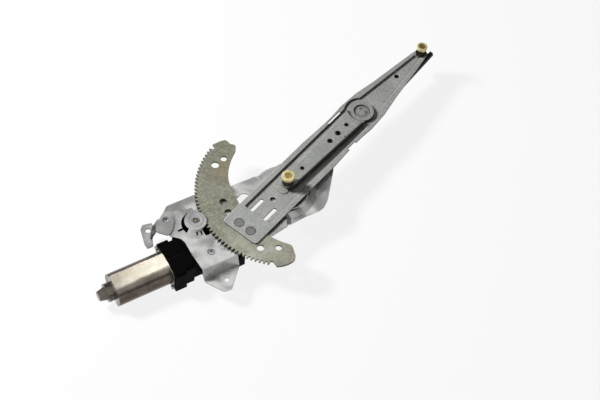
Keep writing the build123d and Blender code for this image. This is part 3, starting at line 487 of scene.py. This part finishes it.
metalLooks = {
    "brightZincSheet": {
        "dark": (0.36, 0.36, 0.355), "light": (0.61, 0.61, 0.6),
        "crystalColour": (0.54, 0.54, 0.535), "crystal": 0.3, "crystalScale": 180,
        "pepperColour": (0.2, 0.2, 0.2), "pepper": 0.2,
        "edgeColour": (0.85, 0.85, 0.84), "edge": 0.6, "edgeRadius": 0.0007,
        "metallic": 0.7, "smooth": 0.2, "rough": 0.36, "lines": 0.08,
        "cloudScale": 26, "wave": 0.0024, "waveScale": 22, "grain": 0.000012, "creviceShade": 0.5,
    },
    "galvanisedSheet": {
        "dark": (0.34, 0.35, 0.33), "light": (0.46, 0.47, 0.45),
        "crystalColour": (0.5, 0.51, 0.49), "crystal": 0.5, "crystalScale": 380,
        "pepperColour": (0.11, 0.11, 0.1), "pepper": 0.5, "pepperScale": 520,
        # the bright edge colour is a painted highlight, and the upright faces are painted near
        # black as shade
        "edgeColour": (0.92, 0.92, 0.9), "edge": 0.85, "edgeRadius": 0.0011, "edgeGain": 7,
        "uprightShade": 0.95,
        "metallic": 0.1, "specular": 0.3, "smooth": 0.36, "rough": 0.52,
        "cloudScale": 34, "wave": 0.0005, "waveScale": 14,
    },
    "oliveSectorSteel": {
        "dark": (0.22, 0.22, 0.165), "light": (0.41, 0.41, 0.335),
        "crystalColour": (0.5, 0.49, 0.41), "crystal": 0.6, "crystalScale": 250,
        "pepperColour": (0.08, 0.075, 0.05), "pepper": 0.6, "pepperScale": 480,
        "edgeColour": (0.55, 0.54, 0.47), "edge": 0.5, "edgeRadius": 0.0004,
        # upright faces painted dark as shade
        "uprightShade": 0.8,
        "metallic": 0.35, "specular": 0.3, "smooth": 0.42, "rough": 0.6,
        "cloudScale": 48, "wave": 0.0002, "waveScale": 12,
        "stains": [
            {"place": (-0.026, 0.077, 0.0242), "radius": 0.022, "strength": 0.75,
             "colour": (0.42, 0.25, 0.09), "scale": 160},
            {"place": (-0.083, -0.062, 0.0242), "radius": 0.02, "strength": 0.35,
             "colour": (0.36, 0.27, 0.13), "scale": 190},
            {"place": (-0.098, -0.032, 0.0242), "radius": 0.06, "strength": 0.8,
             "colour": (0.62, 0.62, 0.53), "scale": 60},
            {"place": (-0.022, 0.1, 0.0242), "radius": 0.05, "strength": 0.6,
             "colour": (0.17, 0.17, 0.11), "scale": 90},
        ],
    },
    "turnedSteel": {
        "dark": (0.28, 0.28, 0.28), "light": (0.42, 0.42, 0.42),
        "crystalColour": (0.45, 0.45, 0.45), "crystal": 0.1,
        "pepperColour": (0.15, 0.15, 0.15), "pepper": 0.2,
        "edgeColour": (0.7, 0.7, 0.7), "edge": 0.5, "edgeRadius": 0.0003,
        "metallic": 1.0, "smooth": 0.24, "rough": 0.4,
        "cloudScale": 70, "wave": 0.00005,
    },
    "dullRivetSteel": {
        "dark": (0.17, 0.18, 0.17), "light": (0.26, 0.27, 0.26),
        "crystalColour": (0.3, 0.31, 0.3), "crystal": 0.4, "crystalScale": 420,
        "pepperColour": (0.09, 0.09, 0.085), "pepper": 0.45, "pepperScale": 700,
        # the black edge colour paints a ring of shade round each head
        "edgeColour": (0.03, 0.03, 0.03), "edge": 1.0, "edgeRadius": 0.001,
        "metallic": 0.3, "smooth": 0.4, "rough": 0.6,
        "cloudScale": 90, "wave": 0.0001,
    },
    "yellowPassivate": {
        "dark": (0.7, 0.57, 0.24), "light": (0.94, 0.83, 0.47),
        "crystalColour": (0.92, 0.84, 0.52), "crystal": 0.3,
        "pepperColour": (0.36, 0.24, 0.08), "pepper": 0.25,
        "edgeColour": (0.9, 0.84, 0.58), "edge": 0.7, "edgeRadius": 0.0006,
        "metallic": 0.45, "smooth": 0.22, "rough": 0.42,
        "cloudScale": 160, "wave": 0.00005,
    },
    "platedCanSteel": {
        "dark": (0.7, 0.63, 0.5), "light": (0.97, 0.93, 0.83),
        "crystalColour": (0.85, 0.78, 0.65), "crystal": 0.2, "crystalScale": 260,
        "pepperColour": (0.55, 0.42, 0.27), "pepper": 0.12, "pepperScale": 700,
        "edgeColour": (0.9, 0.86, 0.78), "edge": 0.3, "edgeRadius": 0.0009,
        "metallic": 0.9, "smooth": 0.13, "rough": 0.25,
        "cloudScale": 26, "wave": 0.0001, "waveScale": 30,
        "turn": (0, 0, math.radians(motorFrame["turn"])), "scratchScale": 18,
        # the sweeps paint shade and dark reflections: dark bands along the can's sides and at its
        # end
        "sweeps": [
            {"along": (-sine, -cosine, 0), "start": 0.0305, "end": 0.0345, "strength": 0.9,
             "colour": (0.16, 0.135, 0.115)},
            {"along": (-sine, -cosine, 0), "start": 0.0345, "end": 0.043, "strength": 0.8,
             "colour": (0.045, 0.03, 0.02), "scale": 40, "ragged": 0.004},
            {"along": (sine, cosine, 0), "start": -0.0125, "end": -0.0105, "strength": 0.95,
             "colour": (0.03, 0.022, 0.018)},
            {"along": (-cosine, sine, 0), "start": 0.2585, "end": 0.2605, "strength": 0.92,
             "colour": (0.075, 0.062, 0.055)},
        ],
    },
    "darkSeamAndShade": {
        "dark": (0.02, 0.02, 0.019), "light": (0.05, 0.05, 0.047),
        "crystalColour": (0.1, 0.1, 0.1), "crystal": 0.3,
        "pepperColour": (0.02, 0.02, 0.02), "pepper": 0.3,
        "edgeColour": (0.12, 0.12, 0.12), "edge": 0.5,
        "metallic": 0.3, "specular": 0.3, "smooth": 0.3, "rough": 0.5,
        "cloudScale": 120,
    },
    "wornShaftEnd": {
        "dark": (0.16, 0.11, 0.07), "light": (0.4, 0.32, 0.23),
        "crystalColour": (0.5, 0.44, 0.36), "crystal": 0.3, "crystalScale": 700,
        "pepperColour": (0.08, 0.05, 0.03), "pepper": 0.4, "pepperScale": 1200,
        "edgeColour": (0.8, 0.76, 0.68), "edge": 0.6, "edgeRadius": 0.0004,
        "metallic": 0.8, "smooth": 0.2, "rough": 0.4,
        "cloudScale": 260,
    },
    "zincScrew": {
        "dark": (0.3, 0.3, 0.31), "light": (0.46, 0.46, 0.47),
        "crystalColour": (0.45, 0.45, 0.45), "crystal": 0.1,
        "pepperColour": (0.15, 0.15, 0.15), "pepper": 0.25,
        "edgeColour": (0.75, 0.75, 0.75), "edge": 0.6, "edgeRadius": 0.0003,
        "metallic": 1.0, "smooth": 0.18, "rough": 0.36,
        "cloudScale": 200, "wave": 0.00003,
    },
    # drawn near black all over
    "blackSheet": {
        "dark": (0.01, 0.01, 0.011), "light": (0.02, 0.02, 0.021),
        "crystalColour": (0.03, 0.03, 0.03), "crystal": 0.2, "crystalScale": 400,
        "pepperColour": (0.04, 0.04, 0.04), "pepper": 0.2, "pepperScale": 1100,
        "edgeColour": (0.1, 0.1, 0.1), "edge": 0.35, "edgeRadius": 0.0006,
        "metallic": 0.0, "specular": 0.12, "smooth": 0.34, "rough": 0.5,
        "cloudScale": 60, "wave": 0.0002,
    },
    "copperWire": {
        "dark": (0.5, 0.22, 0.1), "light": (0.72, 0.38, 0.2),
        "crystalColour": (0.7, 0.4, 0.22), "crystal": 0.2,
        "pepperColour": (0.3, 0.12, 0.05), "pepper": 0.3,
        "edgeColour": (0.85, 0.5, 0.3), "edge": 0.5,
        "metallic": 1.0, "smooth": 0.25, "rough": 0.4,
        "cloudScale": 90,
    },
    "stackedLaminations": {
        "dark": (0.22, 0.23, 0.24), "light": (0.34, 0.35, 0.37),
        "crystalColour": (0.3, 0.3, 0.31), "crystal": 0.1,
        "pepperColour": (0.15, 0.15, 0.15), "pepper": 0.2,
        "edgeColour": (0.5, 0.5, 0.5), "edge": 0.4,
        "metallic": 0.9, "smooth": 0.3, "rough": 0.5,
        "cloudScale": 90,
    },
    "sinteredBronze": {
        "dark": (0.38, 0.26, 0.13), "light": (0.52, 0.38, 0.2),
        "crystalColour": (0.5, 0.38, 0.2), "crystal": 0.3, "crystalScale": 700,
        "pepperColour": (0.2, 0.12, 0.05), "pepper": 0.4, "pepperScale": 1100,
        "edgeColour": (0.6, 0.48, 0.3), "edge": 0.3,
        "metallic": 0.9, "smooth": 0.4, "rough": 0.55,
        "cloudScale": 90,
    },
    "tinnedBrass": {
        "dark": (0.62, 0.54, 0.34), "light": (0.78, 0.72, 0.52),
        "crystalColour": (0.8, 0.75, 0.6), "crystal": 0.2,
        "pepperColour": (0.4, 0.3, 0.15), "pepper": 0.1,
        "edgeColour": (0.9, 0.86, 0.7), "edge": 0.4,
        "metallic": 1.0, "smooth": 0.16, "rough": 0.3,
        "cloudScale": 90,
    },
}
# a copy of the galvanised sheet whose dark edge colour paints a shade line along its edges
metalLooks["zincWithEdgeShade"] = {
    **metalLooks["galvanisedSheet"],
    "dark": (0.31, 0.32, 0.3), "light": (0.42, 0.43, 0.41),
    "edgeColour": (0.05, 0.05, 0.048), "edgeRadius": 0.0009, "edgeGain": 5,
}
# a darker copy of the bright zinc as painted shade, with its upright faces painted near black as
# shade
metalLooks["shadedZincFoot"] = {
    **metalLooks["brightZincSheet"],
    "dark": (0.27, 0.27, 0.265), "light": (0.48, 0.48, 0.47),
    "uprightShade": 0.93, "uprightShadeColour": (0.02, 0.02, 0.02),
}
mouldedLooks = {
    "blackGlassFilledNylon": {
        "dark": (0.001, 0.001, 0.001), "light": (0.0025, 0.0025, 0.0025),
        "edgeColour": (0.015, 0.015, 0.015), "edge": 0.35,
        "smooth": 0.5, "rough": 0.68, "specular": 0.03, "grain": 0.00005,
    },
    "blackRubber": {
        "dark": (0.012, 0.012, 0.012), "light": (0.02, 0.02, 0.02),
        "edgeColour": (0.04, 0.04, 0.04),
        "smooth": 0.6, "rough": 0.8, "specular": 0.3,
    },
    "whiteAcetal": {
        "dark": (0.7, 0.69, 0.64), "light": (0.78, 0.77, 0.73),
        "edgeColour": (0.85, 0.85, 0.82),
        "smooth": 0.3, "rough": 0.42, "specular": 0.5,
    },
    "darkFerrite": {
        "dark": (0.03, 0.03, 0.033), "light": (0.06, 0.06, 0.065),
        "edgeColour": (0.12, 0.12, 0.12),
        "smooth": 0.55, "rough": 0.75, "specular": 0.4,
    },
    "carbonBlock": {
        "dark": (0.02, 0.02, 0.02), "light": (0.04, 0.04, 0.04),
        "edgeColour": (0.1, 0.1, 0.1),
        "smooth": 0.4, "rough": 0.6, "specular": 0.4,
    },
}

finishes = {name: makeMetal(name, look) for name, look in metalLooks.items()}
finishes.update({name: makeMoulded(name, look) for name, look in mouldedLooks.items()})
print("finishes made:", len(finishes))

nodeFinish = {
    "brightZincSheet": ["base_plate"],
    "shadedZincFoot": ["side_bracket"],
    "galvanisedSheet": ["lift_arm"],
    "zincWithEdgeShade": ["equalizer_front", "main_pivot"],
    "wornShaftEnd": ["output_shaft"],
    "oliveSectorSteel": ["sector_gear"],
    "dullRivetSteel": ["sector_rivets", "hub_rivets"],
    "blackSheet": ["equalizer_rear"],
    "yellowPassivate": ["tip_roller", "front_roller", "rear_roller"],
    "turnedSteel": ["panel_spacers", "hub_bush", "drive_pinion", "armature_shaft"],
    "zincScrew": ["gearbox_screws", "can_screws"],
    "platedCanSteel": ["motor_can"],
    "blackGlassFilledNylon": ["gearbox_housing", "gearbox_cover"],
    "blackRubber": ["damper"],
    "whiteAcetal": ["pivot_washer", "worm_wheel", "thrust_pad", "brush_card"],
    "darkFerrite": ["magnets"],
    "carbonBlock": ["brushes"],
    "copperWire": ["windings", "commutator"],
    "stackedLaminations": ["armature_core"],
    "sinteredBronze": ["output_bush", "worm_bush", "end_bearing"],
    "tinnedBrass": ["connector_pins"],
}
# the studs are yellow at the top; from the wheel's underside down they are painted black as the
# shade under the wheel
studPlatingAndShade = {
    "studs": ["tip_stud", "front_stud", "rear_stud"], "yellowDepth": 0.0045, "fade": 0.0006,
    "neckShade": {"strength": 0.93, "colour": (0.02, 0.018, 0.014), "ragged": 0.0003, "scale": 200},
    "yellow": {
        "dark": (0.34, 0.26, 0.09), "light": (0.58, 0.46, 0.18),
        "crystalColour": (0.66, 0.55, 0.26), "crystal": 0.25,
        "pepperColour": (0.1, 0.07, 0.03), "pepper": 0.3,
        "edgeColour": (0.75, 0.7, 0.5), "edge": 0.6, "edgeRadius": 0.0004,
        "metallic": 0.9, "smooth": 0.2, "rough": 0.36,
        "cloudScale": 120, "wave": 0.00005,
    },
}


def finishNode(name, material):
    for materialSlot in nodes[name].material_slots:
        materialSlot.material = material


def plateAndShadeStud(name):
    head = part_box(name)[1].z - studPlatingAndShade["yellowDepth"]
    neckShade = {"along": (0, 0, -1), "start": -head, "end": -head + studPlatingAndShade["fade"]}
    neckShade.update(studPlatingAndShade["neckShade"])
    finishNode(name, makeMetal(name + "_platingAndShade", {**studPlatingAndShade["yellow"], "sweeps": [neckShade]}))


for finish, names in nodeFinish.items():
    for name in names:
        finishNode(name, finishes[finish])
for name in studPlatingAndShade["studs"]:
    plateAndShadeStud(name)
print("finishes put on the nodes")


# the place of a point that is given along and across the shaft, from the worm's middle
def motorPoint(along, across, level):
    x, y = motorFrame["worm"]
    return Vector((x + cosine * along + sine * across, y - sine * along + cosine * across, level))


# edges sharper than smoothAngle, in degrees, stay crisp; a face is level where its normal's
# rise is over levelFace; corners nearer than mergeGap become one
modelling = {"smoothAngle": 35, "levelFace": 0.9, "mergeGap": 0.00001, "ringSides": 64}


def startPiece(name):
    piece = bpy.context.object
    piece.name = name
    piece.data.name = name
    bpy.ops.object.mode_set(mode="EDIT")
    bpy.ops.mesh.select_mode(type="FACE")
    bpy.ops.mesh.select_all(action="DESELECT")
    return piece


# in edit mode: selects only the level faces, those that look up, or down where way is -1
def pickLevelFaces(piece, way):
    bpy.ops.mesh.select_all(action="DESELECT")
    bpy.ops.object.mode_set(mode="OBJECT")
    for face in piece.data.polygons:
        face.select = face.normal.z * way > modelling["levelFace"]
    bpy.ops.object.mode_set(mode="EDIT")


def turnFacesOut():
    bpy.ops.mesh.select_all(action="SELECT")
    bpy.ops.mesh.normals_make_consistent(inside=False)


def endPiece(piece, finish, body):
    bpy.ops.object.mode_set(mode="OBJECT")
    bpy.ops.object.shade_smooth_by_angle(angle=math.radians(modelling["smoothAngle"]))
    piece.data.materials.clear()
    piece.data.materials.append(finishes[finish])
    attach(piece, body)


def placeCopies(piece, places, name):
    copies = []
    for place in places:
        twin = piece.copy()
        twin.data = piece.data.copy()
        bpy.context.scene.collection.objects.link(twin)
        twin.data.transform(Matrix.Translation(place))
        copies.append(twin)
    bpy.data.objects.remove(piece)
    bpy.ops.object.select_all(action="DESELECT")
    for twin in copies:
        twin.select_set(True)
    bpy.context.view_layer.objects.active = copies[0]
    bpy.ops.object.join()
    joined = bpy.context.object
    joined.name = name
    return joined


# countersunk screws of the gearmotor, with a six-lobed recess; domeSteps and domeInset
# raise the head ring by ring, and places are along and across the shaft, and up
gearScrew = {
    "headSides": 48, "headRadius": 0.00395, "rimDepth": 0.0002, "seatDepth": 0.0013,
    "shankRadius": 0.00195, "shankLength": 0.0099,
    "dome": 0.00035, "domeSteps": (0.45, 0.3, 0.17, 0.08), "domeInset": 0.0007,
    "lobes": 6, "recessRadius": 0.0021, "recessWaist": 0.55, "recessDepth": 0.0016,
    "places": [(-0.0316, 0.0514, 0.0213), (-0.0017, -0.0173, 0.0193), (0.036, 0.038, 0.0193)],
}


def modelGearScrews():
    shape = gearScrew
    bpy.ops.object.select_all(action="DESELECT")
    bpy.ops.mesh.primitive_cylinder_add(
        vertices=shape["headSides"], radius=shape["headRadius"], depth=shape["rimDepth"],
        location=(0, 0, -shape["rimDepth"] / 2))
    screw = startPiece("screwBlank")
    pickLevelFaces(screw, -1)
    seat = (0, 0, shape["rimDepth"] - shape["seatDepth"])
    bpy.ops.mesh.extrude_region_move(TRANSFORM_OT_translate={"value": seat})
    narrow = shape["shankRadius"] / shape["headRadius"]
    bpy.ops.transform.resize(value=(narrow, narrow, 1))
    shank = (0, 0, -shape["shankLength"])
    bpy.ops.mesh.extrude_region_move(TRANSFORM_OT_translate={"value": shank})
    pickLevelFaces(screw, 1)
    for step in shape["domeSteps"]:
        bpy.ops.mesh.inset(thickness=shape["domeInset"])
        bpy.ops.transform.translate(value=(0, 0, shape["dome"] * step))
    bpy.ops.object.mode_set(mode="OBJECT")
    bpy.ops.object.select_all(action="DESELECT")
    bpy.ops.mesh.primitive_cylinder_add(
        vertices=2 * shape["lobes"], radius=shape["recessRadius"], depth=2 * shape["recessDepth"])
    cutter = bpy.context.object
    for number, corner in enumerate(cutter.data.vertices):
        if number // 2 % 2:  # every second upright edge of the cutter moves in
            corner.co.xy *= shape["recessWaist"]
    bpy.ops.object.select_all(action="DESELECT")
    bpy.context.view_layer.objects.active = screw
    screw.select_set(True)
    recess = screw.modifiers.new("recess", "BOOLEAN")
    recess.object, recess.operation, recess.solver = cutter, "DIFFERENCE", "EXACT"
    bpy.ops.object.modifier_apply(modifier=recess.name)
    bpy.data.objects.remove(cutter)
    places = [motorPoint(*place) for place in shape["places"]]
    screws = placeCopies(screw, places, "gearmotorScrews")
    startPiece("gearmotorScrews")
    turnFacesOut()
    endPiece(screws, "zincScrew", "base")
    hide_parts("gearbox_screws")


# a ring turned round an upright axis: a circle is raised and widened from point to point of
# its profile, given as radius and height, and the last ring closes on the first
def turnRing(profile, centre, name):
    radius, height = profile[0]
    bpy.ops.object.select_all(action="DESELECT")
    bpy.ops.mesh.primitive_circle_add(
        vertices=modelling["ringSides"], radius=radius,
        location=(centre.x, centre.y, centre.z + height))
    bpy.ops.object.transform_apply(location=True, rotation=True, scale=True)
    ring = startPiece(name)
    bpy.ops.mesh.select_mode(type="EDGE")
    bpy.ops.mesh.select_all(action="SELECT")
    for wider, higher in profile[1:] + profile[:1]:
        rise = (0, 0, higher - height)
        bpy.ops.mesh.extrude_region_move(TRANSFORM_OT_translate={"value": rise})
        growth = wider / radius
        bpy.ops.transform.resize(value=(growth, growth, 1), center_override=centre)
        radius, height = wider, higher
    bpy.ops.mesh.select_all(action="SELECT")
    bpy.ops.mesh.remove_doubles(threshold=modelling["mergeGap"])
    turnFacesOut()
    return ring


# turned collar and pressed bead on the bridge cap, round the shaft's end
capTrim = {
    "level": 0.0268,
    "collar": [(0.0033, 0.0), (0.0033, 0.0006), (0.0037, 0.0008), (0.0049, 0.0008), (0.0055, 0.0)],
    "bead": [
        (0.0082, -0.0001), (0.0086, 0.0004), (0.0092, 0.0006), (0.0098, 0.0004), (0.0102, -0.0001),
    ],
    "finishes": {"collar": "turnedSteel", "bead": "brightZincSheet"},
}


def modelCapTrim():
    low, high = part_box("output_shaft")
    centre = Vector(((low.x + high.x) / 2, (low.y + high.y) / 2, capTrim["level"]))
    for name, finish in capTrim["finishes"].items():
        endPiece(turnRing(capTrim[name], centre, "cap_" + name), finish, "base")


# dark rings round the two rivet heads on the arm's pad: a joint round each head, drawn near black
# as its shade
rivetSeam = {
    "places": [(-0.0793, -0.0096), (-0.0793, 0.0096)],
    "profile": [(0.0059, -0.0001), (0.0061, 0.0001), (0.0067, 0.0001), (0.0069, -0.0001)],
}


def modelRivetSeams():
    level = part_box("sector_rivets")[1].z
    seam = turnRing(rivetSeam["profile"], Vector((0, 0, level)), "seamBlank")
    bpy.ops.object.mode_set(mode="OBJECT")
    seams = placeCopies(seam, [Vector((*place, 0)) for place in rivetSeam["places"]], "rivetSeams")
    endPiece(seams, "darkSeamAndShade", "lift")


modelGearScrews()
print("gearmotor screws modelled")
modelCapTrim()
print("collar and bead of the cap modelled")
modelRivetSeams()
print("rivet seams modelled")
